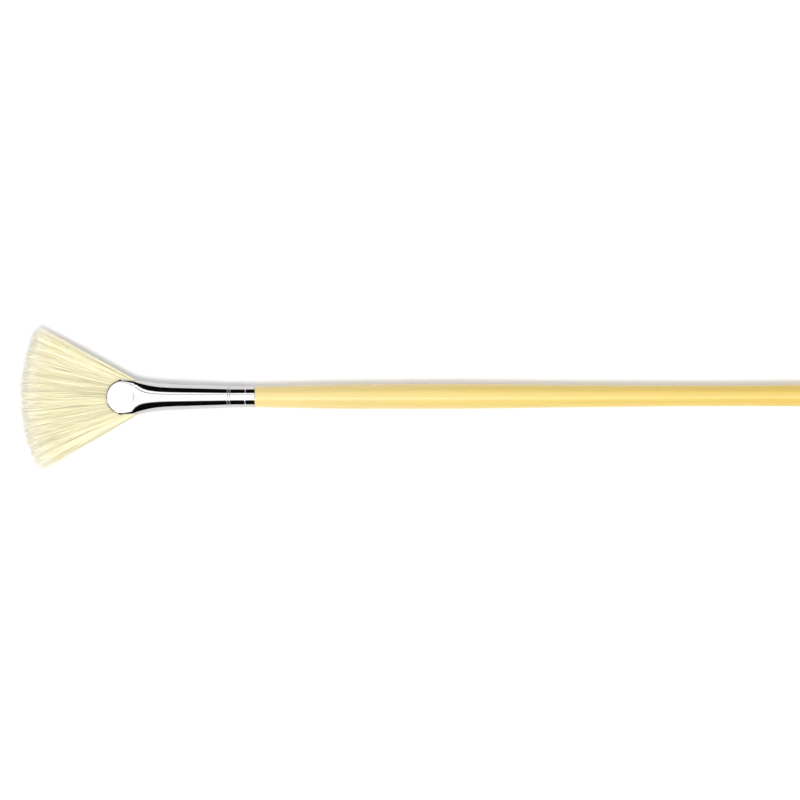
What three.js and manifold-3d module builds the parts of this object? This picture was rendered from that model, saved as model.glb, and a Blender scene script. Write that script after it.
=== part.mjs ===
// A long-handled fan brush for oil and acrylic paint: a lacquered wooden handle, a seamless
// nickel-plated ferrule pressed flat at its mouth, and a fan of hog bristle.
//
// Millimetres. +X runs along the brush from the bristle tips to the tail of the handle, +Y across
// the fan and +Z out of its flat side. The origin is the middle of the brush's own box.
import * as THREE from "three";
import { mergeVertices } from "three/addons/utils/BufferGeometryUtils.js";
import Module from "manifold-3d";

const wasm = await Module();
wasm.setup();

// ---- Driving dimensions -------------------------------------------------------------------

const OVERALL_LENGTH = 330;
const BRISTLE_OUT = 28; // bristle in front of the mouth, on the centre line
const FERRULE_LENGTH = 49;
const CLEARANCE = 0.2; // kept all round between pieces that touch on the real brush
const END_GAP = 0.3; // the same, end to end

// Ferrule: a tube, straight at its rear and then coned, whose front is pressed between two flats
// with a round-nosed mouth. "Back" is the distance in front of its rear end.
const TUBE_RADIUS = 3.5;
const WALL = 0.25;
const CONE_FLARE = 0.04; // radius gained per millimetre along the cone
const FLARE_BACK = 7; // where the cone starts
const MOUTH_RADIUS = 5.65; // of the round nose, seen from above
const MOUTH_HALF_THICKNESS = 1.85;
const CREASE_BACK = 40.3; // the crease where the flats start
const PRESS_LENGTH = 2.75; // the pressing fades to 1/e of itself over this, behind the crease
const WIDENING = 0.85; // half-width that the pressing adds at the crease
const WIDENING_LENGTH = 6.4; // the gain fades to 1/e of itself over this, as a bell curve
const FLAT_TRIM = 0.985; // the flats are planed to this share of the section's full height
const PLANING_LENGTH = 1.5; // over which the planing sets in, behind the crease
const FLAT_SQUARENESS = 7.5; // exponent of the superellipse at the flats; 2 is an ellipse
const SQUARING_BACK = [39, 44.6]; // the section squares up between these
const SIDE_OPENING_BACK = 38.2; // in front of this the sides are open and let the fan out
const CRIMP_DEPTH = 0.25;
const CRIMP_HALF_WIDTH = 0.55;
const CRIMPS_BACK = [3.1, 8.5]; // from the rear end to each rolled groove

// Handle
const SHOULDER_RADIUS = 3.4;
const TENON_LENGTH = 16;
const TAIL_FLAT_RADIUS = 1;
// [distance behind the ferrule, radius] of the turned handle, up to where its tail rounds off
const HANDLE_SHAPE = [
  [0, SHOULDER_RADIUS],
  [12, 3.72],
  [27, 4.0],
  [45, 4.08],
  [61, 4.12],
  [80, 4.01],
  [105, 3.75],
  [150, 3.5],
  [180, 3.6],
  [212, 3.8],
  [237, 3.75],
  [249, 3.2],
];

// Bristle
const FAN_HALF_ANGLE = 30 * THREE.MathUtils.DEG2RAD;
const FAN_SOURCE_BACK = 19.9; // the bristles' lines meet this far behind the front of the mouth
const TIP_ARC_RADIUS = 52.3; // the tips lie on this arc, centred on the brush's axis
const FLEX_PIVOT_SHARE = 0.15; // of the free bristle, from the mouth to the bend's pivot
const LOCKS = 15;
const LOCK_HALF_GAP = 0.24 * THREE.MathUtils.DEG2RAD;
const LOCK_TIP_CROWN = 0.8; // a lock's middle reaches this far past its corners
const TIP_THINNING = 0.6; // share of its thickness that the fan loses by its tips
const ROOT_LENGTH = 24; // of the bundle behind the mouth
const BINDING_BACK = 4; // from the rear of the bundle to the thread's first turn
const BINDING_TURNS = 4;
const THREAD_THICKNESS = 0.5;

const TURNED_SEGMENTS = 32;
const PRESSED_SEGMENTS = 36;

// ---- Stations along X ---------------------------------------------------------------------

const TIPS_X = -OVERALL_LENGTH / 2;
const TAIL_X = OVERALL_LENGTH / 2;
const MOUTH_X = TIPS_X + BRISTLE_OUT;
const FERRULE_REAR_X = MOUTH_X + FERRULE_LENGTH;
const NOSE_CENTRE_X = MOUTH_X + MOUTH_RADIUS;
const CREASE_X = FERRULE_REAR_X - CREASE_BACK;
const SIDE_OPENING_X = FERRULE_REAR_X - SIDE_OPENING_BACK;
const SHOULDER_X = FERRULE_REAR_X + END_GAP;
const TENON_END_X = FERRULE_REAR_X - TENON_LENGTH;
const ROOT_END_X = MOUTH_X + ROOT_LENGTH;
const FAN_SOURCE_X = MOUTH_X + FAN_SOURCE_BACK;
const TIP_ARC_CENTRE_X = TIPS_X + TIP_ARC_RADIUS;
const PIVOT_X = MOUTH_X - FLEX_PIVOT_SHARE * BRISTLE_OUT;

const BORE_RADIUS = TUBE_RADIUS - WALL;
const FILL_RADIUS = BORE_RADIUS - CLEARANCE; // of what fills the ferrule, before pressing
const CONE_GAIN = CONE_FLARE * (CREASE_BACK - FLARE_BACK); // radius gained by the crease
const PRESS_DEPTH = TUBE_RADIUS + CONE_GAIN - MOUTH_HALF_THICKNESS / FLAT_TRIM;
const FAN_HALF_THICKNESS = flatHeight(FILL_RADIUS);

// ---- Geometry helpers ---------------------------------------------------------------------

// Turns a profile of [x, radius] pairs about the X axis. A facet, and not an edge between two,
// faces down, so that a piece lies still on it.
function turned(profile, segments) {
  const points = profile.map(([x, radius]) => new THREE.Vector2(radius, x));
  const halfFacet = Math.PI / segments;
  return new THREE.LatheGeometry(points, segments, halfFacet).rotateZ(-Math.PI / 2);
}

// The power of a sine or cosine, keeping its sign. Rounding noise counts as zero.
function signedPower(value, power) {
  const noise = 1e-6;
  return Math.abs(value) < noise ? 0 : Math.sign(value) * Math.abs(value) ** power;
}

// A turned shape formed as the ferrule is: coned, then pressed wider and flatter towards the
// mouth, where the section squares up between the flats. Points on the axis stay there.
function pressed(geometry) {
  const { smoothstep, lerp, clamp } = THREE.MathUtils;
  const position = geometry.getAttribute("position");
  const onAxis = 1e-6;
  for (let i = 0; i < position.count; i++) {
    const x = position.getX(i);
    const radius = Math.hypot(position.getY(i), position.getZ(i));
    if (radius < onAxis) continue;
    const angle = Math.atan2(position.getZ(i), position.getY(i));
    const back = FERRULE_REAR_X - x;
    const toCrease = Math.max(0, CREASE_BACK - back);
    const onCone = Math.max(0, Math.min(back, CREASE_BACK) - FLARE_BACK);
    const widening = WIDENING * Math.exp(-((toCrease / WIDENING_LENGTH) ** 2));
    const pressing = PRESS_DEPTH * Math.exp(-toCrease / PRESS_LENGTH);
    const coned = radius + CONE_FLARE * onCone;
    const halfWidth = coned + widening;
    const halfThickness = coned - pressing;
    const squareness = lerp(2, FLAT_SQUARENESS, smoothstep(back, ...SQUARING_BACK));
    const planing = smoothstep(back, CREASE_BACK - PLANING_LENGTH, CREASE_BACK);
    const trim = halfThickness * lerp(1, FLAT_TRIM, planing);
    const y = halfWidth * signedPower(Math.cos(angle), 2 / squareness);
    const z = halfThickness * signedPower(Math.sin(angle), 2 / squareness);
    position.setXYZ(i, x, y, clamp(z, -trim, trim));
  }
  return geometry;
}

// The height of the flats on a turned shape of this radius once it is pressed.
function flatHeight(radius) {
  return (radius + CONE_GAIN - PRESS_DEPTH) * FLAT_TRIM;
}

// The stations where a pressed piece needs a ring of points, from low to high, close together
// where its section changes fast. Pieces that nest share them, so that their walls stay apart.
function pressStations(lowX, highX) {
  return [-6.5, -4.3, -3.2, -2.2, -1.2, 0, 0.7, 1.5, 2.4, 3.5, 5, 7, 9, 11.5, 14.5, 18.5, 24, 33.3]
    .map((behindCrease) => CREASE_X + behindCrease)
    .filter((x) => x > lowX && x < highX);
}

// An outline in the XY plane, thickened evenly to both sides of it.
function plate(outline, halfThickness) {
  const geometry = new THREE.ExtrudeGeometry(outline, {
    depth: 2 * halfThickness,
    bevelEnabled: false,
    curveSegments: 24,
  });
  return geometry.translate(0, 0, -halfThickness);
}

function block(lowX, highX, halfWidth, halfThickness) {
  const box = new THREE.BoxGeometry(highX - lowX, 2 * halfWidth, 2 * halfThickness);
  return box.translate((lowX + highX) / 2, 0, 0);
}

function toSolid(geometry) {
  const bare = new THREE.BufferGeometry();
  bare.setAttribute("position", geometry.getAttribute("position"));
  bare.setIndex(geometry.getIndex());
  const merged = mergeVertices(bare, 1e-4);
  const vertProperties = merged.getAttribute("position").array;
  const triVerts = new Uint32Array(merged.getIndex().array);
  return new wasm.Manifold(new wasm.Mesh({ numProp: 3, vertProperties, triVerts }));
}

function toGeometry(solid) {
  const { vertProperties, triVerts } = solid.getMesh();
  const geometry = new THREE.BufferGeometry();
  geometry.setAttribute("position", new THREE.BufferAttribute(vertProperties, 3));
  geometry.setIndex(new THREE.BufferAttribute(triVerts, 1));
  geometry.computeVertexNormals();
  return geometry;
}

// The five points of a rolled groove in a profile that runs towards +X.
function groove(centreX, radius) {
  const floor = radius - CRIMP_DEPTH;
  return [
    [centreX - CRIMP_HALF_WIDTH, radius],
    [centreX - CRIMP_HALF_WIDTH / 2, floor],
    [centreX, floor],
    [centreX + CRIMP_HALF_WIDTH / 2, floor],
    [centreX + CRIMP_HALF_WIDTH, radius],
  ];
}

// A profile that runs towards +X at one radius through these stations, with both crimps in it.
function crimped(stations, radius) {
  const grooves = CRIMPS_BACK.flatMap((back) => groove(FERRULE_REAR_X - back, radius));
  return [...stations.map((x) => [x, radius]), ...grooves].sort((a, b) => a[0] - b[0]);
}

// ---- Materials ----------------------------------------------------------------------------

const MATERIALS = {
  wood: new THREE.MeshStandardMaterial({ color: 0xf0d694, roughness: 0.25, metalness: 0 }),
  nickel: new THREE.MeshStandardMaterial({ color: 0xe6e3df, roughness: 0.06, metalness: 1 }),
  resin: new THREE.MeshStandardMaterial({ color: 0xb98d4a, roughness: 0.3, metalness: 0 }),
  thread: new THREE.MeshStandardMaterial({ color: 0xd9d2c0, roughness: 0.9, metalness: 0 }),
  bristle: new THREE.MeshStandardMaterial({ color: 0xf3ecc5, roughness: 0.6, metalness: 0 }),
};

function piece(name, geometry, material) {
  const mesh = new THREE.Mesh(geometry, MATERIALS[material]);
  mesh.name = name;
  return mesh;
}

// ---- Pieces -------------------------------------------------------------------------------

// The turned handle: a tenon that the ferrule is crimped to, a shoulder, a belly in front of the
// hand and a long waist that swells again to a rounded tail with a small flat. Lying down, the
// brush rests on its ferrule and on this swelling, and the belly is just clear of the table.
function handle() {
  const shape = new THREE.SplineCurve(
    HANDLE_SHAPE.map(([behind, radius]) => new THREE.Vector2(SHOULDER_X + behind, radius)),
  );
  const side = shape.getPoints(36).map((point) => [point.x, point.y]);
  const tailSteps = 5;
  const [lastX, lastRadius] = side.at(-1);
  const tail = [];
  for (let i = 1; i <= tailSteps; i++) {
    const turn = (i / tailSteps) * (Math.PI / 2);
    tail.push([
      THREE.MathUtils.lerp(lastX, TAIL_X, Math.sin(turn)),
      THREE.MathUtils.lerp(TAIL_FLAT_RADIUS, lastRadius, Math.cos(turn)),
    ]);
  }
  const chamfer = 0.6;
  const profile = [
    [TENON_END_X, 0],
    [TENON_END_X, FILL_RADIUS - chamfer],
    [TENON_END_X + chamfer, FILL_RADIUS],
    ...crimped([SHOULDER_X], FILL_RADIUS),
    ...side,
    ...tail,
    [TAIL_X, 0],
  ];
  return turned(profile, TURNED_SEGMENTS);
}

// The ferrule: one seamless tube, crimped at the rear, pressed to two flats at the front, open at
// its sides in front of the crease, and cut to a round nose.
function ferrule() {
  const spare = 0.2;
  const stations = [MOUTH_X - spare, ...pressStations(MOUTH_X, FERRULE_REAR_X)];
  const outside = crimped(stations, TUBE_RADIUS);
  const inside = crimped(stations, BORE_RADIUS);
  const edge = 0.1;
  const profile = [
    ...outside,
    [FERRULE_REAR_X - edge, TUBE_RADIUS],
    [FERRULE_REAR_X, TUBE_RADIUS - edge],
    [FERRULE_REAR_X, BORE_RADIUS],
    ...inside.reverse(),
    outside[0],
  ];
  const tube = toSolid(pressed(turned(profile, PRESSED_SEGMENTS)));

  const farOut = 20;
  const intoFlats = 0.02; // so that no sliver of the sides is left on them
  const openingHeight = flatHeight(BORE_RADIUS) + intoFlats;
  const sideOpening = toSolid(block(MOUTH_X - farOut, SIDE_OPENING_X, farOut, openingHeight));
  const nose = new THREE.Shape();
  nose.absarc(NOSE_CENTRE_X, 0, MOUTH_RADIUS, Math.PI / 2, (3 * Math.PI) / 2, false);
  nose.lineTo(NOSE_CENTRE_X, -farOut);
  nose.lineTo(FERRULE_REAR_X + farOut, -farOut);
  nose.lineTo(FERRULE_REAR_X + farOut, farOut);
  nose.lineTo(NOSE_CENTRE_X, farOut);
  return toGeometry(tube.subtract(sideOpening).intersect(toSolid(plate(nose, farOut))));
}

// Cured resin between the tenon and the bristle, which locks the roots in the ferrule.
function resinPlug() {
  return pressed(
    turned(
      [
        [ROOT_END_X + END_GAP, 0],
        [ROOT_END_X + END_GAP, FILL_RADIUS],
        [TENON_END_X - END_GAP, FILL_RADIUS],
        [TENON_END_X - END_GAP, 0],
      ],
      PRESSED_SEGMENTS,
    ),
  );
}

const BINDING_X = ROOT_END_X - BINDING_BACK;
const BINDING_LENGTH = BINDING_TURNS * THREAD_THICKNESS;
const WAIST_RADIUS = FILL_RADIUS - THREAD_THICKNESS - CLEARANCE / 2;

// The thread tied round the bundle before it goes into the ferrule: a band of touching turns.
function bindingThread() {
  const steps = 4;
  const turns = [];
  for (let i = 0; i <= BINDING_TURNS * steps; i++) {
    const turn = i / steps;
    const bulge = Math.abs(Math.sin(Math.PI * turn));
    const radius = WAIST_RADIUS + CLEARANCE / 2 + THREAD_THICKNESS * (0.6 + 0.4 * bulge);
    turns.push([BINDING_X - BINDING_LENGTH + turn * THREAD_THICKNESS, radius]);
  }
  const insideRadius = WAIST_RADIUS + CLEARANCE / 2;
  const first = [turns[0][0], insideRadius];
  const last = [turns.at(-1)[0], insideRadius];
  return pressed(turned([first, ...turns, last, first], PRESSED_SEGMENTS));
}

// The ray of the fan at an angle from the axis, at a given X.
function onRay(angle, x) {
  return new THREE.Vector2(x, (FAN_SOURCE_X - x) * Math.tan(angle));
}

// Where that ray meets the arc that the tips lie on, moved along the ray by a distance.
function atTip(angle, beyond) {
  const offset = TIP_ARC_CENTRE_X - FAN_SOURCE_X;
  const reach =
    Math.sqrt(TIP_ARC_RADIUS ** 2 - (offset * Math.sin(angle)) ** 2) - offset * Math.cos(angle);
  const length = reach + beyond;
  return new THREE.Vector2(FAN_SOURCE_X - length * Math.cos(angle), length * Math.sin(angle));
}

// The roots of the bristle: the bundle inside the ferrule with its waist for the thread, and the
// foot of the fan as far as the bend.
function bristleRoots() {
  const waistLow = BINDING_X - BINDING_LENGTH - CLEARANCE;
  const waistHigh = BINDING_X + CLEARANCE;
  const front = SIDE_OPENING_X - END_GAP;
  const ease = 0.8;
  const bundle = turned(
    [
      [front, 0],
      [front, FILL_RADIUS],
      ...pressStations(front, waistLow - ease).map((x) => [x, FILL_RADIUS]),
      [waistLow - ease, FILL_RADIUS],
      [waistLow, WAIST_RADIUS],
      [waistHigh, WAIST_RADIUS],
      [waistHigh + ease, FILL_RADIUS],
      [ROOT_END_X, FILL_RADIUS],
      [ROOT_END_X, 0],
    ],
    PRESSED_SEGMENTS,
  );
  const sideY = 5.4;
  const footEnd = PIVOT_X + FAN_HALF_THICKNESS + END_GAP;
  const corner = onRay(FAN_HALF_ANGLE, footEnd);
  const overlap = 1;
  const foot = new THREE.Shape([
    new THREE.Vector2(front + overlap, -sideY / 2),
    new THREE.Vector2(front + overlap, sideY / 2),
    new THREE.Vector2(front, sideY),
    corner,
    new THREE.Vector2(corner.x, -corner.y),
    new THREE.Vector2(front, -sideY),
  ]);
  const footPlate = toSolid(plate(foot, FAN_HALF_THICKNESS));
  return toGeometry(toSolid(pressed(bundle)).add(footPlate));
}

// One lock of the free fan between two of its rays, thinning towards a crowned tip.
function bristleLock(index) {
  const step = (2 * FAN_HALF_ANGLE) / LOCKS;
  const low = -FAN_HALF_ANGLE + index * step + LOCK_HALF_GAP;
  const high = low + step - 2 * LOCK_HALF_GAP;
  const middle = (low + high) / 2;
  const outline = new THREE.Shape([onRay(low, PIVOT_X), onRay(high, PIVOT_X)]);
  outline.lineTo(...atTip(high, -LOCK_TIP_CROWN));
  outline.lineTo(...atTip(THREE.MathUtils.lerp(middle, high, 0.45), -LOCK_TIP_CROWN / 5));
  outline.lineTo(...atTip(middle, 0));
  outline.lineTo(...atTip(THREE.MathUtils.lerp(middle, low, 0.45), -LOCK_TIP_CROWN / 5));
  outline.lineTo(...atTip(low, -LOCK_TIP_CROWN));
  const geometry = plate(outline, FAN_HALF_THICKNESS);
  const position = geometry.getAttribute("position");
  for (let i = 0; i < position.count; i++) {
    const along = (PIVOT_X - position.getX(i)) / (PIVOT_X - TIPS_X);
    position.setZ(i, position.getZ(i) * (1 - TIP_THINNING * along));
  }
  return geometry;
}

// ---- Assembly -----------------------------------------------------------------------------

const brush = new THREE.Group();
brush.add(piece("handle", handle(), "wood"));
brush.add(piece("ferrule", ferrule(), "nickel"));
brush.add(piece("resin_plug", resinPlug(), "resin"));
brush.add(piece("binding_thread", bindingThread(), "thread"));
brush.add(piece("bristle_roots", bristleRoots(), "bristle"));

const fan = new THREE.Group();
for (let i = 0; i < LOCKS; i++) {
  const number = String(i + 1).padStart(2, "0");
  fan.add(piece(`bristle_lock_${number}`, bristleLock(i), "bristle"));
}
brush.add(fan);

export default brush;
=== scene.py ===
"""Looks for a long-handled fan brush: nickel-plated ferrule, lacquered handle, hog bristle fan.

Metres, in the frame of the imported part: +X from the bristle tips to the tail of the handle, +Y
across the fan, +Z out of its flat side.
"""

import math

import bmesh
import bpy
import numpy as np
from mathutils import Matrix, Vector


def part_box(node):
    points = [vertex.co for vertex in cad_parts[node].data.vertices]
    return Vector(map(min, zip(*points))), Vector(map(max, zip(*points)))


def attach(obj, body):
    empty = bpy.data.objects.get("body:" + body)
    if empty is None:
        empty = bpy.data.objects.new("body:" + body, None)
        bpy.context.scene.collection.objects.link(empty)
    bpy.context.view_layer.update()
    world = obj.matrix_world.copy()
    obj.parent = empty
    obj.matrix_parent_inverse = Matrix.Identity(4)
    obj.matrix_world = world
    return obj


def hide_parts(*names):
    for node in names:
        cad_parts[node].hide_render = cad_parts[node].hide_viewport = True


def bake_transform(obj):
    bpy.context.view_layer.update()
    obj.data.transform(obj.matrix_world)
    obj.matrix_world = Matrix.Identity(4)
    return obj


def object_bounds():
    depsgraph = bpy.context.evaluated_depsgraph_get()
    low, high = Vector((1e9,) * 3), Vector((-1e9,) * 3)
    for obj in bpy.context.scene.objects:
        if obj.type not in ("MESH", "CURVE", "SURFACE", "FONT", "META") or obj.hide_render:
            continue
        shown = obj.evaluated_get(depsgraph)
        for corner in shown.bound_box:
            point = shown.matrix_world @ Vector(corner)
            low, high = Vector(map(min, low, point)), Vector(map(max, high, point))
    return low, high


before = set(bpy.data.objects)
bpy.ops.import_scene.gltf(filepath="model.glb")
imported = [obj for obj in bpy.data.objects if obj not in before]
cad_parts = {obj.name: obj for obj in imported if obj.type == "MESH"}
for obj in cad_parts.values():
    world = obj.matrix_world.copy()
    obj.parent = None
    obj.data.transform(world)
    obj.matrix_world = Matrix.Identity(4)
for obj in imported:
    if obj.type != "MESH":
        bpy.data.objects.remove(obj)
cad_low, cad_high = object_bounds()

MM = 0.001

# ---- Stations taken from the frame ---------------------------------------------------------

handle_low, handle_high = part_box("handle")
ferrule_low, ferrule_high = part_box("ferrule")
ROOTS_REAR_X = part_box("bristle_roots")[1].x
TIPS_X = cad_low.x
TAIL_X = handle_high.x
MOUTH_X = ferrule_low.x
FERRULE_REAR_X = ferrule_high.x
TENON_END_X = handle_low.x
FLOOR_Z = cad_low.z

# ---- Ferrule: the same cone and pressing as the part's source. "Back" is from its rear end --

TUBE_RADIUS = 3.5 * MM
WALL = 0.25 * MM
CLEARANCE = 0.2 * MM
CONE_FLARE = 0.04
FLARE_BACK = 7 * MM
MOUTH_RADIUS = 5.65 * MM
MOUTH_HALF_THICKNESS = 1.85 * MM
CREASE_BACK = 40.3 * MM
PRESS_LENGTH = 2.75 * MM
WIDENING = 0.85 * MM
WIDENING_LENGTH = 6.4 * MM
FLAT_TRIM = 0.985
PLANING_LENGTH = 1.5 * MM
FLAT_SQUARENESS = 7.5
SQUARING_BACK = (39 * MM, 44.6 * MM)
SIDE_OPENING_BACK = 38.2 * MM
SIDE_OPENING_HALF_HEIGHT = 0.6 * MM
# (from the rear end, depth) of each rolled groove: one faint, and two side by side
CRIMPS = ((3.1 * MM, 0.1 * MM), (8.12 * MM, 0.17 * MM), (8.88 * MM, 0.17 * MM))
CRIMP_WIDTH = 0.11 * MM
LIP_SHARE = 0.1  # a groove's lips stand this share of its depth proud
LIP_OFFSET = 2.1  # in groove widths, from the middle of the groove
LIP_SHARPNESS = 1.5
CONE_GAIN = CONE_FLARE * (CREASE_BACK - FLARE_BACK)
PRESS_DEPTH = TUBE_RADIUS + CONE_GAIN - MOUTH_HALF_THICKNESS / FLAT_TRIM
NOSE_CENTRE_X = MOUTH_X + MOUTH_RADIUS
SIDE_OPENING_X = FERRULE_REAR_X - SIDE_OPENING_BACK

# ---- Handle --------------------------------------------------------------------------------

SHOULDER_X = FERRULE_REAR_X + 0.05 * MM
SHOULDER_RADIUS = 3.4 * MM
TENON_RADIUS = TUBE_RADIUS - WALL - CLEARANCE
TAIL_FLAT_RADIUS = 1 * MM
# (distance behind the shoulder, radius), in millimetres, up to where the tail rounds off
HANDLE_SHAPE = (
    (0, 3.4), (12, 3.72), (27, 4.02), (45, 4.1), (61, 4.17), (80, 4.03),
    (105, 3.75), (150, 3.5), (180, 3.6), (212, 3.8), (237, 3.75), (249, 3.2),
)

# ---- Bristle -------------------------------------------------------------------------------

FAN_HALF_ANGLE = math.radians(29.8)
FAN_LEAN = math.radians(-0.7)  # the whole fan points a little to one side
FAN_SOURCE_BACK = 19.9 * MM
FAN_SOURCE_X = MOUTH_X + FAN_SOURCE_BACK
TIP_ARC_RADIUS = 52.3 * MM
LOCKS = 15
STRANDS_PER_LOCK = 150


# ---- Helpers -------------------------------------------------------------------------------


def smoothstep(value, low, high):
    share = np.clip((value - low) / (high - low), 0, 1)
    return share * share * (3 - 2 * share)


def signed_power(value, power):
    return np.sign(value) * np.abs(value) ** power


def new_mesh(name, points, faces, smooth=True):
    mesh = bpy.data.meshes.new(name)
    mesh.from_pydata([tuple(p) for p in points], [], faces)
    mesh.update()
    if smooth:
        mesh.shade_smooth()
    piece = bpy.data.objects.new(name, mesh)
    bpy.context.scene.collection.objects.link(piece)
    return piece


def apply_modifiers(piece):
    """Replaces the piece's mesh by what its modifiers make of it."""
    graph = bpy.context.evaluated_depsgraph_get()
    made = bpy.data.meshes.new_from_object(piece.evaluated_get(graph), depsgraph=graph)
    piece.modifiers.clear()
    piece.data = made


# ---- Camera, floor and light ---------------------------------------------------------------

VIEW_WIDTH = 264 * MM
LENS = 150
SENSOR = 36
VIEW_CENTRE = (-40.1 * MM, -1.15 * MM)
VIEW_ROLL = math.radians(-0.15)


def make_camera():
    data = bpy.data.cameras.new("camera")
    data.lens = LENS
    data.sensor_width = SENSOR
    camera = bpy.data.objects.new("camera", data)
    camera.location = (*VIEW_CENTRE, VIEW_WIDTH / 2 / (SENSOR / 2 / LENS))
    camera.rotation_euler = (0, 0, VIEW_ROLL)
    bpy.context.scene.collection.objects.link(camera)
    bpy.context.scene.camera = camera


FLOOR_REACH = 4
FLOOR_WHITE = (0.9, 0.9, 0.9, 1)


def make_floor():
    """White paper that the ferrule lies on. The bent-down fan goes through it."""
    reach, z = FLOOR_REACH, FLOOR_Z
    corners = [(-reach, -reach, z), (reach, -reach, z), (reach, reach, z), (-reach, reach, z)]
    floor = new_mesh("floor", corners, [(0, 1, 2, 3)], smooth=False)
    material = bpy.data.materials.new("floor_paper")
    material.use_nodes = True
    shader = material.node_tree.nodes["Principled BSDF"]
    shader.inputs["Base Color"].default_value = FLOOR_WHITE
    shader.inputs["Roughness"].default_value = 0.9
    shader.inputs["Specular IOR Level"].default_value = 0.1
    floor.data.materials.append(material)


SOFTBOX_CENTRE = (-0.08, -0.2, 0.6)
SOFTBOX_SIZE = (1.3, 1.2)
SOFTBOX_RADIANCE = 0.9
KEY_TILT = math.radians(19)  # from overhead, towards -Y
KEY_SOFTNESS = math.radians(18)
KEY_STRENGTH = 1.35
FILL = 0.55
FILL_COLOUR = (0.95, 0.96, 1.0, 1)
BACKDROP = 0.95

# What the plating and the lacquer mirror: (degrees that a direction leans towards +Y out of the
# XZ plane, radiance). A white tent, with a black flag at each side, one dark seam and one bright
# tube, all far longer than the brush. It dims towards the horizon.
TENT = 2.1
TUBE = 6
SEAM = 0.5
BLACK = 0.005
STUDIO = (
    (-90, BLACK), (-41, BLACK), (-37.5, 0.4), (-33, TENT),
    (-24, TENT), (-23, TUBE), (-13, TUBE), (-12, TENT),
    (21, TENT), (22, SEAM), (26.5, SEAM), (27.5, TENT),
    (40.5, TENT), (41.5, BLACK), (90, BLACK),
)
HORIZON = (-0.05, 0.25)  # it dims between these sines of the height
HORIZON_SHARE = 0.55
STUDIO_TURN = math.radians(8)  # the tent stands a little askew to the brush


def make_lights():
    """A softbox overhead and a key from the -Y side, both for the matt surfaces only."""
    data = bpy.data.lights.new("softbox", "AREA")
    data.shape = "RECTANGLE"
    data.size, data.size_y = SOFTBOX_SIZE
    data.energy = SOFTBOX_RADIANCE * math.pi * SOFTBOX_SIZE[0] * SOFTBOX_SIZE[1]
    softbox = bpy.data.objects.new("softbox", data)
    softbox.location = SOFTBOX_CENTRE

    data = bpy.data.lights.new("key", "SUN")
    data.energy = KEY_STRENGTH
    data.angle = KEY_SOFTNESS
    key = bpy.data.objects.new("key", data)
    key.rotation_euler = (KEY_TILT, 0, 0)

    for light in (softbox, key):
        light.visible_camera = False
        light.visible_glossy = False
        bpy.context.scene.collection.objects.link(light)


def make_world():
    """The studio to reflections, an even fill to matt surfaces and pale behind everything."""
    world = bpy.data.worlds.new("studio")
    bpy.context.scene.world = world
    world.use_nodes = True
    nodes, links = world.node_tree.nodes, world.node_tree.links

    direction = nodes.new("ShaderNodeTexCoord").outputs["Generated"]
    height = nodes.new("ShaderNodeSeparateXYZ")
    links.new(direction, height.inputs["Vector"])
    sideways = nodes.new("ShaderNodeVectorMath")
    sideways.operation = "DOT_PRODUCT"
    sideways.inputs[1].default_value = (math.sin(STUDIO_TURN), math.cos(STUDIO_TURN), 0)
    links.new(direction, sideways.inputs[0])
    lean = nodes.new("ShaderNodeMath")
    lean.operation = "ARCSINE"
    links.new(sideways.outputs["Value"], lean.inputs[0])
    place = nodes.new("ShaderNodeMapRange")
    place.inputs["From Min"].default_value = -math.pi / 2
    place.inputs["From Max"].default_value = math.pi / 2
    links.new(lean.outputs["Value"], place.inputs["Value"])
    ramp = nodes.new("ShaderNodeValToRGB")
    elements = ramp.color_ramp.elements
    while len(elements) < len(STUDIO):
        elements.new(0.5)
    for element, (degrees, radiance) in zip(elements, STUDIO):
        element.position = (degrees + 90) / 180
        element.color = (radiance / TUBE, radiance / TUBE, radiance / TUBE, 1)
    links.new(place.outputs["Result"], ramp.inputs["Fac"])
    brightness = nodes.new("ShaderNodeMapRange")
    brightness.inputs["From Min"].default_value = HORIZON[0]
    brightness.inputs["From Max"].default_value = HORIZON[1]
    brightness.inputs["To Min"].default_value = TUBE * HORIZON_SHARE
    brightness.inputs["To Max"].default_value = TUBE
    links.new(height.outputs["Z"], brightness.inputs["Value"])
    studio = nodes.new("ShaderNodeMath")
    studio.operation = "MULTIPLY"
    links.new(ramp.outputs["Color"], studio.inputs[0])
    links.new(brightness.outputs["Result"], studio.inputs[1])

    path = nodes.new("ShaderNodeLightPath")
    for_surfaces = nodes.new("ShaderNodeMix")
    for_surfaces.inputs["A"].default_value = FILL
    links.new(studio.outputs["Value"], for_surfaces.inputs["B"])
    links.new(path.outputs["Is Glossy Ray"], for_surfaces.inputs["Factor"])
    seen = nodes.new("ShaderNodeMix")
    seen.inputs["B"].default_value = BACKDROP
    links.new(path.outputs["Is Camera Ray"], seen.inputs["Factor"])
    links.new(for_surfaces.outputs["Result"], seen.inputs["A"])
    background = nodes["Background"]
    background.inputs["Color"].default_value = FILL_COLOUR
    links.new(seen.outputs["Result"], background.inputs["Strength"])


# ---- Materials -----------------------------------------------------------------------------


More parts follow.
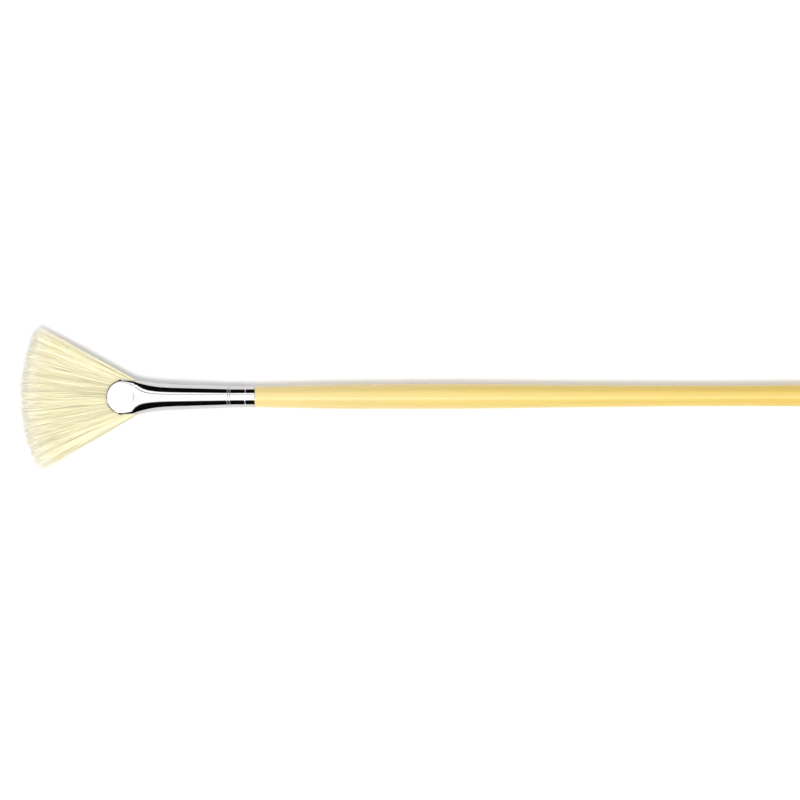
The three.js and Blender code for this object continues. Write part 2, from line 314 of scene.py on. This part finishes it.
class Finish:
    """A material in the making: a Principled shader and short ways to add nodes to it."""

    def __init__(self, name):
        self.material = bpy.data.materials.new(name)
        self.material.use_nodes = True
        self.nodes = self.material.node_tree.nodes
        self.links = self.material.node_tree.links
        self.shader = self.nodes["Principled BSDF"]

    def set(self, **values):
        for name, value in values.items():
            self.shader.inputs[name.replace("_", " ")].default_value = value
        return self

    def node(self, kind, **settings):
        made = self.nodes.new("ShaderNode" + kind)
        for name, value in settings.items():
            setattr(made, name, value)
        return made

    def link(self, source, target):
        self.links.new(source, target)

    def place(self, scale):
        """Object coordinates, stretched by a scale for each axis."""
        coordinates = self.node("TexCoord")
        mapping = self.node("Mapping")
        mapping.inputs["Scale"].default_value = scale
        self.link(coordinates.outputs["Object"], mapping.inputs["Vector"])
        return mapping.outputs["Vector"]

    def noise(self, vector, scale, detail=3, roughness=0.5):
        noise = self.node("TexNoise")
        noise.inputs["Scale"].default_value = scale
        noise.inputs["Detail"].default_value = detail
        noise.inputs["Roughness"].default_value = roughness
        self.link(vector, noise.inputs["Vector"])
        return noise.outputs["Fac"]

    def ramp(self, factor, *stops):
        """A colour or value that runs through (place, colour) stops."""
        ramp = self.node("ValToRGB")
        elements = ramp.color_ramp.elements
        while len(elements) < len(stops):
            elements.new(0.5)
        for element, (place, colour) in zip(elements, stops):
            element.position = place
            grey = isinstance(colour, (int, float))
            element.color = (colour, colour, colour, 1) if grey else (*colour, 1)
        self.link(factor, ramp.inputs["Fac"])
        return ramp.outputs["Color"]

    def mix(self, kind, factor, a, b):
        mix = self.node("Mix", data_type="RGBA", blend_type=kind)
        for socket, value in ((mix.inputs[0], factor), (mix.inputs[6], a), (mix.inputs[7], b)):
            if isinstance(value, bpy.types.NodeSocket):
                self.link(value, socket)
            else:
                socket.default_value = value
        return mix.outputs[2]

    def bump(self, height, strength, distance):
        bump = self.node("Bump")
        bump.inputs["Strength"].default_value = strength
        bump.inputs["Distance"].default_value = distance
        self.link(height, bump.inputs["Height"])
        self.link(bump.outputs["Normal"], self.shader.inputs["Normal"])


def lacquered_wood():
    """Pale close-grained wood under clear lacquer, more golden towards the tail."""
    finish = Finish("lacquered_wood")
    finish.set(IOR=1.2, Coat_Weight=1.0, Coat_Roughness=0.12, Coat_IOR=1.4)
    along = finish.node("SeparateXYZ")
    finish.link(finish.place((1, 1, 1)), along.inputs["Vector"])
    span = finish.node("MapRange")
    span.inputs["From Min"].default_value = SHOULDER_X
    span.inputs["From Max"].default_value = TAIL_X
    finish.link(along.outputs["X"], span.inputs["Value"])
    tone = finish.ramp(
        span.outputs["Result"],
        (0.0, (0.72, 0.57, 0.24)),
        (0.35, (0.69, 0.52, 0.155)),
        (0.75, (0.68, 0.48, 0.11)),
        (1.0, (0.66, 0.45, 0.10)),
    )
    grain = finish.noise(finish.place((14, 900, 900)), 1.0, detail=4, roughness=0.6)
    streaks = finish.ramp(grain, (0.3, 0.90), (0.5, 0.98), (0.7, 1.0))
    pores = finish.noise(finish.place((160, 5200, 5200)), 1.0, detail=2)
    flecks = finish.ramp(pores, (0.28, 0.88), (0.42, 1.0))
    coloured = finish.mix("MULTIPLY", 0.8, tone, streaks)
    finish.link(finish.mix("MULTIPLY", 0.5, coloured, flecks), finish.shader.inputs["Base Color"])
    finish.link(finish.ramp(grain, (0.3, 0.5), (0.7, 0.38)), finish.shader.inputs["Roughness"])
    finish.bump(grain, 0.12, 0.02 * MM)
    return finish.material


EDGE_SHADE_SPAN = (0.5 * MM, 0.28 * MM)  # the painted shade fades out between these, from the nose's edge
EDGE_SHADE_FADE = 1.5 * MM  # the painted shade thins out over this length where the round nose meets the straight sides
# near-black colour painted as shade along the nose's cut edge
EDGE_SHADE_COLOUR = (0.07, 0.065, 0.06, 1)
MOST_EDGE_SHADE = 0.9


def painted_edge_shade(finish):
    """Where shade is painted: rises to nearly 1 at the cut edge of the nose, and is 0 on the rest of
    the ferrule.
    """
    from_centre = finish.node("VectorMath", operation="DISTANCE")
    from_centre.inputs[1].default_value = (NOSE_CENTRE_X, 0, 0)
    finish.link(finish.place((1, 1, 0)), from_centre.inputs[0])
    edge = finish.node("MapRange", interpolation_type="SMOOTHSTEP")
    edge.inputs["From Min"].default_value = MOUTH_RADIUS - EDGE_SHADE_SPAN[0]
    edge.inputs["From Max"].default_value = MOUTH_RADIUS - EDGE_SHADE_SPAN[1]
    edge.inputs["To Max"].default_value = MOST_EDGE_SHADE
    finish.link(from_centre.outputs["Value"], edge.inputs["Value"])
    along = finish.node("SeparateXYZ")
    finish.link(finish.place((1, 1, 1)), along.inputs["Vector"])
    on_nose = finish.node("MapRange", interpolation_type="SMOOTHSTEP")
    on_nose.inputs["From Min"].default_value = -NOSE_CENTRE_X
    on_nose.inputs["From Max"].default_value = -NOSE_CENTRE_X + EDGE_SHADE_FADE
    ahead = finish.node("Math", operation="MULTIPLY")
    ahead.inputs[1].default_value = -1.0
    finish.link(along.outputs["X"], ahead.inputs[0])
    finish.link(ahead.outputs["Value"], on_nose.inputs["Value"])
    share = finish.node("Math", operation="MULTIPLY")
    finish.link(edge.outputs["Result"], share.inputs[0])
    finish.link(on_nose.outputs["Result"], share.inputs[1])
    return share.outputs["Value"]


def nickel_plate():
    """Bright plating with the faintest polishing lines round the tube, and painted shade along the
    cut edge of the nose.
    """
    finish = Finish("nickel_plate")
    finish.set(Metallic=1.0)
    lines = finish.noise(finish.place((9000, 500, 500)), 1.0, detail=2)
    cloud = finish.noise(finish.place((1, 1, 1)), 260, detail=3)
    tint = finish.ramp(cloud, (0.3, (0.535, 0.525, 0.505)), (0.7, (0.555, 0.545, 0.53)))
    # painted shade along the nose's cut edge
    edge_shaded = finish.mix("MIX", painted_edge_shade(finish), tint, EDGE_SHADE_COLOUR)
    finish.link(edge_shaded, finish.shader.inputs["Base Color"])
    finish.link(finish.ramp(cloud, (0.3, 0.05), (0.75, 0.09)), finish.shader.inputs["Roughness"])
    finish.bump(lines, 0.06, 0.004 * MM)
    return finish.material


def cured_resin():
    finish = Finish("cured_resin")
    finish.set(IOR=1.55, Coat_Weight=0.3)
    cloud = finish.noise(finish.place((1, 1, 1)), 700, detail=4)
    tint = finish.ramp(cloud, (0.3, (0.36, 0.19, 0.05)), (0.7, (0.52, 0.31, 0.09)))
    finish.link(tint, finish.shader.inputs["Base Color"])
    finish.link(finish.ramp(cloud, (0.3, 0.2), (0.7, 0.4)), finish.shader.inputs["Roughness"])
    finish.bump(cloud, 0.3, 0.05 * MM)
    return finish.material


def waxed_thread():
    finish = Finish("waxed_thread")
    fibres = finish.noise(finish.place((6000, 1500, 1500)), 1.0, detail=3)
    tint = finish.ramp(fibres, (0.3, (0.55, 0.50, 0.40)), (0.7, (0.76, 0.71, 0.60)))
    finish.link(tint, finish.shader.inputs["Base Color"])
    finish.link(finish.ramp(fibres, (0.3, 0.7), (0.7, 0.95)), finish.shader.inputs["Roughness"])
    finish.bump(fibres, 0.5, 0.05 * MM)
    return finish.material


# pale colour at the tips, partly the bristle's own and partly painted light
PALE_LIT_TIP = (0.96, 0.94, 0.87, 1)
PALE_LIT_SPAN = 8 * MM  # the tips turn pale over this, partly in their own colour and partly as painted light
MOST_PALE_LIT = 0.5
SHADE_BACK = 6 * MM  # painted shade and light: behind the mouth the bristle is painted darkest, and it is painted brighter to its tips


def pale_lit_tip_share(finish):
    """Mask of the pale tips, partly their own colour and partly painted light: 0 behind the pale end
    of the fan, rising to a half at the arc of its tips.
    """
    from_centre = finish.node("VectorMath", operation="DISTANCE")
    from_centre.inputs[1].default_value = (TIPS_X + TIP_ARC_RADIUS, 0, 0)
    finish.link(finish.place((1, 1, 1)), from_centre.inputs[0])
    share = finish.node("MapRange", interpolation_type="SMOOTHSTEP")
    share.inputs["From Min"].default_value = TIP_ARC_RADIUS - PALE_LIT_SPAN
    share.inputs["From Max"].default_value = TIP_ARC_RADIUS
    share.inputs["To Max"].default_value = MOST_PALE_LIT
    finish.link(from_centre.outputs["Value"], share.inputs["Value"])
    return share.outputs["Result"]


def hog_bristle():
    """Bleached bristle: each one its own cream, with painted shade behind the mouth that gives way to
    painted light towards the tips, and paler at its tip, partly in its own colour and partly as
    painted light.
    """
    finish = Finish("hog_bristle")
    finish.set(IOR=1.45, Sheen_Weight=0.15, Sheen_Roughness=0.4)
    geometry = finish.node("NewGeometry")
    own = finish.ramp(
        geometry.outputs["Random Per Island"],
        (0.0, (0.86, 0.80, 0.51)),
        (0.3, (0.875, 0.825, 0.55)),
        (0.7, (0.895, 0.85, 0.61)),
        (1.0, (0.92, 0.885, 0.71)),
    )
    coordinates = finish.node("SeparateXYZ")
    finish.link(finish.place((1, 1, 1)), coordinates.inputs["Vector"])
    span = finish.node("MapRange")
    span.inputs["From Min"].default_value = MOUTH_X + SHADE_BACK
    span.inputs["From Max"].default_value = TIPS_X
    finish.link(coordinates.outputs["X"], span.inputs["Value"])
    # painted shade and light: darker behind the mouth, painted brighter towards the tips
    painted_shade_and_light = finish.ramp(
        span.outputs["Result"],
        (0.0, (0.93, 0.915, 0.89)),
        (0.5, (0.97, 0.965, 0.95)),
        (1.0, (1.0, 1.0, 1.0)),
    )
    fibre = finish.noise(finish.place((1, 1, 1)), 2500, detail=2)
    mottled = finish.mix("MULTIPLY", 0.25, own, finish.ramp(fibre, (0.3, 0.85), (0.6, 1.0)))
    coloured = finish.mix("MULTIPLY", 1.0, mottled, painted_shade_and_light)
    # paler tips: partly the bristle's own colour, partly painted light
    pale_lit = finish.mix("MIX", pale_lit_tip_share(finish), coloured, PALE_LIT_TIP)
    finish.link(pale_lit, finish.shader.inputs["Base Color"])
    finish.link(finish.ramp(fibre, (0.3, 0.45), (0.7, 0.6)), finish.shader.inputs["Roughness"])
    finish.bump(fibre, 0.2, 0.02 * MM)
    return finish.material


# ---- Handle --------------------------------------------------------------------------------


def spline(points, samples):
    """Points of the uniform Catmull-Rom spline through the given ones."""
    points = np.array(points, float)
    last = len(points) - 1
    made = []
    for share in np.linspace(0, last, samples):
        i = min(int(share), last - 1)
        t = share - i
        p0, p1, p2, p3 = points[[max(i - 1, 0), i, i + 1, min(i + 2, last)]]
        v1, v2 = (p2 - p0) / 2, (p3 - p1) / 2
        made.append(
            (2 * p1 - 2 * p2 + v1 + v2) * t**3 + (-3 * p1 + 3 * p2 - 2 * v1 - v2) * t**2 + v1 * t + p1
        )
    return np.array(made)


def turned(name, profile, segments):
    """A solid turned about the X axis from (x, radius) points, closed at both ends."""
    angles = np.linspace(0, 2 * math.pi, segments, endpoint=False)
    points = [(x, r * math.cos(a), r * math.sin(a)) for x, r in profile for a in angles]
    faces = []
    for ring in range(len(profile) - 1):
        for i in range(segments):
            j = (i + 1) % segments
            low, high = ring * segments, (ring + 1) * segments
            faces.append((low + i, low + j, high + j, high + i))
    faces.append(tuple(range(segments - 1, -1, -1)))
    faces.append(tuple(range((len(profile) - 1) * segments, len(profile) * segments)))
    return new_mesh(name, points, faces)


def crimp_offset(x):
    """How far the rolled grooves push the surface in, and their lips out, at a given X."""
    total = np.zeros_like(np.asarray(x, float))
    for back, depth in CRIMPS:
        off = (x - (FERRULE_REAR_X - back)) / CRIMP_WIDTH
        front_lip = np.exp(-((off - LIP_OFFSET) ** 2) * LIP_SHARPNESS)
        rear_lip = np.exp(-((off + LIP_OFFSET) ** 2) * LIP_SHARPNESS)
        lips = front_lip + rear_lip
        total = total - depth * np.exp(-(off**2)) + LIP_SHARE * depth * lips
    return total


SHOULDER_EDGE = 0.18 * MM  # radius of the shoulder's edge
TENON_CHAMFER = 0.6 * MM
TENON_STEP = 0.25 * MM
SIDE_RINGS = 230
TAIL_RINGS = 16
TURNED_SEGMENTS = 96


def make_handle(material):
    side = [
        (SHOULDER_X + behind * MM, radius * MM)
        for behind, radius in spline(HANDLE_SHAPE, SIDE_RINGS)
    ]
    edge = SHOULDER_EDGE
    side[0] = (SHOULDER_X + edge, side[0][1])
    shoulder = [
        (SHOULDER_X + edge * (1 - math.cos(a)), SHOULDER_RADIUS - edge * (1 - math.sin(a)))
        for a in np.linspace(0, math.pi / 2, 5)[:-1]
    ]
    last_x, last_radius = side[-1]
    tail = [
        (
            last_x + (TAIL_X - last_x) * math.sin(a),
            TAIL_FLAT_RADIUS + (last_radius - TAIL_FLAT_RADIUS) * math.cos(a),
        )
        for a in np.linspace(0, math.pi / 2, TAIL_RINGS)[1:]
    ]
    tenon_xs = np.arange(TENON_END_X + TENON_CHAMFER, SHOULDER_X - 0.1 * MM, TENON_STEP)
    tenon = [(TENON_END_X, TENON_RADIUS - TENON_CHAMFER)]
    tenon += [(x, TENON_RADIUS + float(crimp_offset(x))) for x in tenon_xs]
    tenon += [(SHOULDER_X, TENON_RADIUS)]
    handle = turned("turned_handle", tenon + shoulder + side + tail, TURNED_SEGMENTS)
    handle.data.materials.append(material)
    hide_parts("handle")
    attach(handle, "brush")


# ---- Ferrule -------------------------------------------------------------------------------


def ferrule_section(x):
    """Half-width, half-thickness, height of the flats and squareness of the tube at a station."""
    back = FERRULE_REAR_X - x
    to_crease = np.maximum(0, CREASE_BACK - back)
    radius = TUBE_RADIUS + crimp_offset(x)
    on_cone = np.maximum(0, np.minimum(back, CREASE_BACK) - FLARE_BACK)
    widening = WIDENING * np.exp(-((to_crease / WIDENING_LENGTH) ** 2))
    pressing = PRESS_DEPTH * np.exp(-to_crease / PRESS_LENGTH)
    coned = radius + CONE_FLARE * on_cone
    half_width = coned + widening
    half_thickness = coned - pressing
    planing = smoothstep(back, CREASE_BACK - PLANING_LENGTH, CREASE_BACK)
    flat = half_thickness * (1 + (FLAT_TRIM - 1) * planing)
    squareness = 2 + (FLAT_SQUARENESS - 2) * smoothstep(back, *SQUARING_BACK)
    return half_width, half_thickness, flat, squareness


def ferrule_surface(x, angle):
    """The outside of the ferrule at a station and an angle round it, as (y, z)."""
    half_width, half_thickness, flat, squareness = ferrule_section(x)
    y = half_width * signed_power(np.cos(angle), 2 / squareness)
    z = half_thickness * signed_power(np.sin(angle), 2 / squareness)
    return y, np.clip(z, -flat, flat)


def opening_angle(x):
    """The angle above the XY plane where a station's section meets the top of the side opening."""
    _, half_thickness, _, squareness = ferrule_section(np.minimum(x, SIDE_OPENING_X))
    return np.arcsin((SIDE_OPENING_HALF_HEIGHT / half_thickness) ** (squareness / 2))


LIP_RADIUS = 0.34 * MM
LIP_TURN = 0.97  # share of the lip's quarter round that is made


def turn_lip_in(x, y, z):
    """Rounds the flats down towards the edge of the nose."""
    ahead = np.minimum(x - NOSE_CENTRE_X, 0)
    inside = np.where(ahead < 0, MOUTH_RADIUS - np.hypot(ahead, y), LIP_RADIUS)
    short = np.clip(LIP_RADIUS - inside, 0, LIP_TURN * LIP_RADIUS)
    drop = LIP_RADIUS - np.sqrt(LIP_RADIUS**2 - short**2)
    top = MOUTH_HALF_THICKNESS - drop
    return np.where(ahead < 0, np.sign(z) * np.minimum(np.abs(z), top), z)


PLAIN_STATIONS = 110
GROOVE_OFFSETS = np.linspace(-0.6, 0.6, 25)  # millimetres, either way from each groove
LEAST_SPACING = 0.03 * MM


def tube_stations():
    """Stations from the rear end to the side opening, closest together at the grooves."""
    plain = np.linspace(FERRULE_REAR_X, SIDE_OPENING_X, PLAIN_STATIONS)
    near = [FERRULE_REAR_X - back + GROOVE_OFFSETS * MM for back, _ in CRIMPS]
    stations = [FERRULE_REAR_X]
    for x in np.sort(np.concatenate([plain, *near]))[::-1]:
        if stations[-1] - x > LEAST_SPACING:
            stations.append(x)
    stations[-1] = SIDE_OPENING_X
    return stations


SIDE_POINTS = 7  # round each quarter of the section, below the opening's edge
FLAT_POINTS = 36  # and above it


def ring_angles(x):
    """Angles of a whole section's points, closest together at the edges of the side openings."""
    edge = float(opening_angle(x))
    low = np.linspace(0, edge, SIDE_POINTS)[:-1]
    high = np.linspace(edge, math.pi / 2, FLAT_POINTS)
    quarter = np.concatenate([low, high])
    half = np.concatenate([quarter, math.pi - quarter[-2:0:-1]])
    return np.concatenate([half, half + math.pi])


OPENING_ROWS = 40  # from the side opening to where the section is fully squared
NOSE_ROWS = 30  # and from there to the edge of the nose
NOSE_CROWDING = 1.6  # above 1, the nose's rows lie closer together towards its edge
WALL_INSET = 0.03 * MM
EDGE_BEVEL = 0.05 * MM


def make_ferrule(material):
    """The tube as one sheet, pressed and cut to the round nose, then given its wall."""
    count = 4 * (SIDE_POINTS + FLAT_POINTS - 2)
    nose_angles = ring_angles(MOUTH_X)
    level = np.abs(np.sin(nose_angles))
    in_plate = level > math.sin(float(opening_angle(MOUTH_X))) - 1e-9

    points, faces = [], []
    tube = tube_stations()
    for x in tube:
        y, z = ferrule_surface(np.full(count, x), ring_angles(x))
        points += list(zip(np.full(count, x), y, z))
    for ring in range(len(tube) - 1):
        for i in range(count):
            j = (i + 1) % count
            a, b = ring * count, (ring + 1) * count
            faces.append((a + i, a + j, b + j, b + i))

    nose_y, _ = ferrule_surface(np.full(count, MOUTH_X), nose_angles)
    reach = NOSE_CENTRE_X - np.sqrt(np.maximum(MOUTH_RADIUS**2 - nose_y**2, 0))
    to_squared = FERRULE_REAR_X - SQUARING_BACK[1]
    from_squared = 1 - (1 - np.linspace(0, 1, NOSE_ROWS)[1:]) ** NOSE_CROWDING
    squared_xs = np.linspace(SIDE_OPENING_X, to_squared, OPENING_ROWS)[1:]
    rows = [np.full(count, x) for x in squared_xs]
    rows += [to_squared + (reach - to_squared) * t for t in from_squared]
    previous = (len(tube) - 1) * count
    for x in rows:
        angles = ring_angles(max(float(x[0]), to_squared))
        y, z = ferrule_surface(x, angles)
        z = turn_lip_in(x, y, z)
        start = len(points)
        points += list(zip(x, y, z))
        for i in range(count):
            j = (i + 1) % count
            if in_plate[i] and in_plate[j]:
                faces.append((previous + i, previous + j, start + j, start + i))
        previous = start

    ferrule = new_mesh("pressed_ferrule", points, faces)
    clean_sheet(ferrule)
    wall = ferrule.modifiers.new("wall", "SOLIDIFY")
    wall.thickness = WALL - WALL_INSET
    wall.offset = -1
    bevel = ferrule.modifiers.new("edges", "BEVEL")
    bevel.width = EDGE_BEVEL
    bevel.segments = 2
    bevel.limit_method = "ANGLE"
    bevel.angle_limit = math.radians(50)
    apply_modifiers(ferrule)
    ferrule.data.shade_smooth()
    ferrule.data.materials.clear()
    ferrule.data.materials.append(material)
    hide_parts("ferrule")
    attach(ferrule, "brush")


def clean_sheet(piece):
    """Drops points that no face uses and turns every face outwards."""
    work = bmesh.new()
    work.from_mesh(piece.data)
    loose = [v for v in work.verts if not v.link_faces]
    bmesh.ops.delete(work, geom=loose, context="VERTS")
    bmesh.ops.recalc_face_normals(work, faces=work.faces)
    work.to_mesh(piece.data)
    work.free()


# ---- Bristle -------------------------------------------------------------------------------


def tip_reach(angle):
    """Distance from the fan's source to the arc of the tips, along a ray of the fan."""
    offset = TIPS_X + TIP_ARC_RADIUS - FAN_SOURCE_X
    return (
        math.sqrt(TIP_ARC_RADIUS**2 - (offset * math.sin(angle)) ** 2)
        - offset * math.cos(angle)
    )


def add_tube(points, faces, path, radii, sides, twist):
    """Adds a closed thin tube along a path of (x, y, z) rows to the lists of points and faces."""
    tangent = np.gradient(path, axis=0)
    tangent /= np.linalg.norm(tangent, axis=1)[:, None]
    across = np.cross(tangent, (0, 0, 1))
    across /= np.linalg.norm(across, axis=1)[:, None]
    up = np.cross(across, tangent)
    start = len(points)
    for k in range(len(path)):
        for side in range(sides):
            a = twist + 2 * math.pi * side / sides
            offset = radii[k] * (math.cos(a) * across[k] + math.sin(a) * up[k])
            points.append(path[k] + offset)
    for k in range(len(path) - 1):
        for side in range(sides):
            other = (side + 1) % sides
            a, b = start + k * sides, start + (k + 1) * sides
            faces.append((a + side, a + other, b + other, b + side))
    faces.append(tuple(start + side for side in range(sides - 1, -1, -1)))
    last = start + (len(path) - 1) * sides
    faces.append(tuple(last + side for side in range(sides)))


ROOT_REACH = 7.6 * MM  # from the fan's source to where its bristles start, inside the ferrule
MOUTH_HALF_STACK = 1.25 * MM  # half the thickness of the fan where it leaves the mouth
TIP_HALF_STACK = 0.3 * MM
BRISTLE_RADIUS = 0.085 * MM
TIP_SHORTFALL = 2.2 * MM  # the shortest tips end this far behind the longest
ALONG = np.array([0, 0.2, 0.4, 0.6, 0.78, 0.9, 0.975, 1])  # shares of a bristle's length
FLAGS = 2
FLAG_LENGTH = 2 * MM
TUFTS = 260
TUFT_REACH = 0.3 * MM  # how far tufts differ from each other in reach, direction and level
TUFT_TURN = math.radians(0.12)
TUFT_LEVEL = 0.15
GATHER = 0.03  # share of the way to the middle of its tuft that a bristle's tip moves
WIDE_ANGLES = (math.radians(15), math.radians(24))  # the fan thins to its sides between these
SIDE_SHARE = 0.4  # of the fan's full thickness, at its sides
SPARSE_ANGLES = (math.radians(25), math.radians(30))  # and loses bristles between these
SIDE_LOSS = 0.75
STRAND_TURN = math.radians(0.45)
STRAND_LEVEL = 0.85
STRAND_BOW = (0.16 * MM, 0.12 * MM)  # how far tips stray in the fan's plane, and out of it
RADIUS_RANGE = (0.75, 1.15)
FLAG_RADII = np.array([0.36, 0.28, 0.1])  # shares of the bristle's radius along a split end
FLAG_SPREAD = (0.07, 0.03)  # how far split ends open, in the fan's plane and out of it


def make_tufts():
    """What the bristles of a tuft share: where it points, how far it reaches, how it leans."""
    rng = np.random.default_rng(99)
    return [
        {
            "angle": angle,
            "reach": rng.normal(0, TUFT_REACH),
            "turn": rng.normal(0, TUFT_TURN),
            "level": rng.uniform(-TUFT_LEVEL, TUFT_LEVEL),
        }
        for angle in rng.uniform(-FAN_HALF_ANGLE, FAN_HALF_ANGLE, TUFTS)
    ]


def add_bristle(points, faces, rng, angle, shared):
    """One bristle from inside the ferrule to its split tip."""
    shortfall = TIP_SHORTFALL * rng.random()
    length = tip_reach(angle) + shared["reach"] - shortfall
    reach = ROOT_REACH + (length - ROOT_REACH) * ALONG
    free = np.clip((reach - FAN_SOURCE_BACK) / (length - FAN_SOURCE_BACK), 0, 1)
    gather = GATHER * (shared["angle"] - angle)
    heading = angle + (gather + shared["turn"] + rng.normal(0, STRAND_TURN)) * free
    heading = np.clip(heading, -FAN_HALF_ANGLE, FAN_HALF_ANGLE) + FAN_LEAN
    sideways = rng.normal(0, STRAND_BOW[0]) * free**2
    x = FAN_SOURCE_X - reach * np.cos(heading) + sideways * np.sin(heading)
    y = reach * np.sin(heading) + sideways * np.cos(heading)
    level = shared["level"] + rng.uniform(-STRAND_LEVEL, STRAND_LEVEL)
    at_side = float(smoothstep(abs(angle), *WIDE_ANGLES))
    stack = MOUTH_HALF_STACK * (1 + (SIDE_SHARE - 1) * at_side)
    half_stack = stack + (TIP_HALF_STACK - stack) * free**0.8
    z = level * half_stack + rng.normal(0, STRAND_BOW[1]) * free**2
    path = np.column_stack([x, y, z])
    radius = BRISTLE_RADIUS * rng.uniform(*RADIUS_RANGE)
    radii = radius * (1 - 0.3 * free**1.3)
    radii[-1] *= 0.75
    add_tube(points, faces, path, radii, 4, rng.uniform(0, math.pi))
    ahead = (path[-1] - path[-2]) / np.linalg.norm(path[-1] - path[-2])
    for _ in range(FLAGS):
        split = path[-1] - ahead * FLAG_LENGTH * rng.uniform(0.1, 0.9)
        spread = np.array([-ahead[1], ahead[0], 0]) * rng.normal(0, FLAG_SPREAD[0])
        spread[2] = rng.normal(0, FLAG_SPREAD[1])
        end = split + (ahead + spread) * FLAG_LENGTH * rng.uniform(0.6, 1.0)
        middle = (split + end) / 2 + rng.normal(0, 0.02 * MM, 3)
        add_tube(points, faces, np.array([split, middle, end]), FLAG_RADII * radius, 3, 0.0)


def make_bristles(material):
    """The fan, one piece for each of the part's locks."""
    step = 2 * FAN_HALF_ANGLE / LOCKS
    tufts = make_tufts()
    for index in range(LOCKS):
        rng = np.random.default_rng(100 + index)
        low_angle = -FAN_HALF_ANGLE + index * step
        points, faces = [], []
        for _ in range(STRANDS_PER_LOCK):
            angle = low_angle + rng.uniform(-0.15, 1.15) * step
            angle = max(-FAN_HALF_ANGLE, min(FAN_HALF_ANGLE, angle))
            if rng.random() > 1 - SIDE_LOSS * smoothstep(abs(angle), *SPARSE_ANGLES):
                continue
            nearest = min(tufts, key=lambda shared: abs(shared["angle"] - angle))
            add_bristle(points, faces, rng, angle, nearest)
        number = f"{index + 1:02d}"
        lock = new_mesh(f"bristles_{number}", points, faces)
        lock.data.materials.append(material)
        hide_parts(f"bristle_lock_{number}")
        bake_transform(lock)


ROOT_STRANDS = 320
ROOT_STATIONS = 16
ROOT_SHARE = 0.84  # of the ferrule's outside that the bundle fills
WAIST_DEPTH = 0.26  # how much of its width the thread takes from it
WAIST_REACH = 1.6 * MM


def make_roots(material):
    """The bundle inside the ferrule, drawn in where the thread ties it."""
    rng = np.random.default_rng(7)
    points, faces = [], []
    thread_low, thread_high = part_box("binding_thread")
    front = SIDE_OPENING_X - 1 * MM
    xs = np.linspace(ROOTS_REAR_X, front, ROOT_STATIONS)
    thread_x = (thread_low.x + thread_high.x) / 2
    waist = np.exp(-(((xs - thread_x) / WAIST_REACH) ** 4))
    for _ in range(ROOT_STRANDS):
        angle = rng.uniform(0, 2 * math.pi)
        share = math.sqrt(rng.uniform(0, 1))
        y, z = ferrule_surface(xs, np.full(len(xs), angle))
        squeeze = (1 - WAIST_DEPTH * waist) * share * ROOT_SHARE
        path = np.column_stack([xs, y * squeeze, z * squeeze])
        radii = np.full(len(xs), BRISTLE_RADIUS * rng.uniform(0.8, 1.1))
        add_tube(points, faces, path, radii, 4, rng.uniform(0, math.pi))
    roots = new_mesh("bristle_bundle", points, faces)
    roots.data.materials.append(material)
    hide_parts("bristle_roots")
    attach(roots, "brush")


def finish_cad_node(name, material):
    """A CAD piece whose shape is right keeps it and gets its material."""
    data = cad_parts[name].data
    data.materials.clear()
    data.materials.append(material)
    data.shade_smooth()


# ---- The scene -----------------------------------------------------------------------------

bpy.context.scene.view_settings.view_transform = "Standard"
make_camera()
make_floor()
make_lights()
make_world()

make_handle(lacquered_wood())
make_ferrule(nickel_plate())
bristle = hog_bristle()
make_bristles(bristle)
make_roots(bristle)
finish_cad_node("resin_plug", cured_resin())
finish_cad_node("binding_thread", waxed_thread())
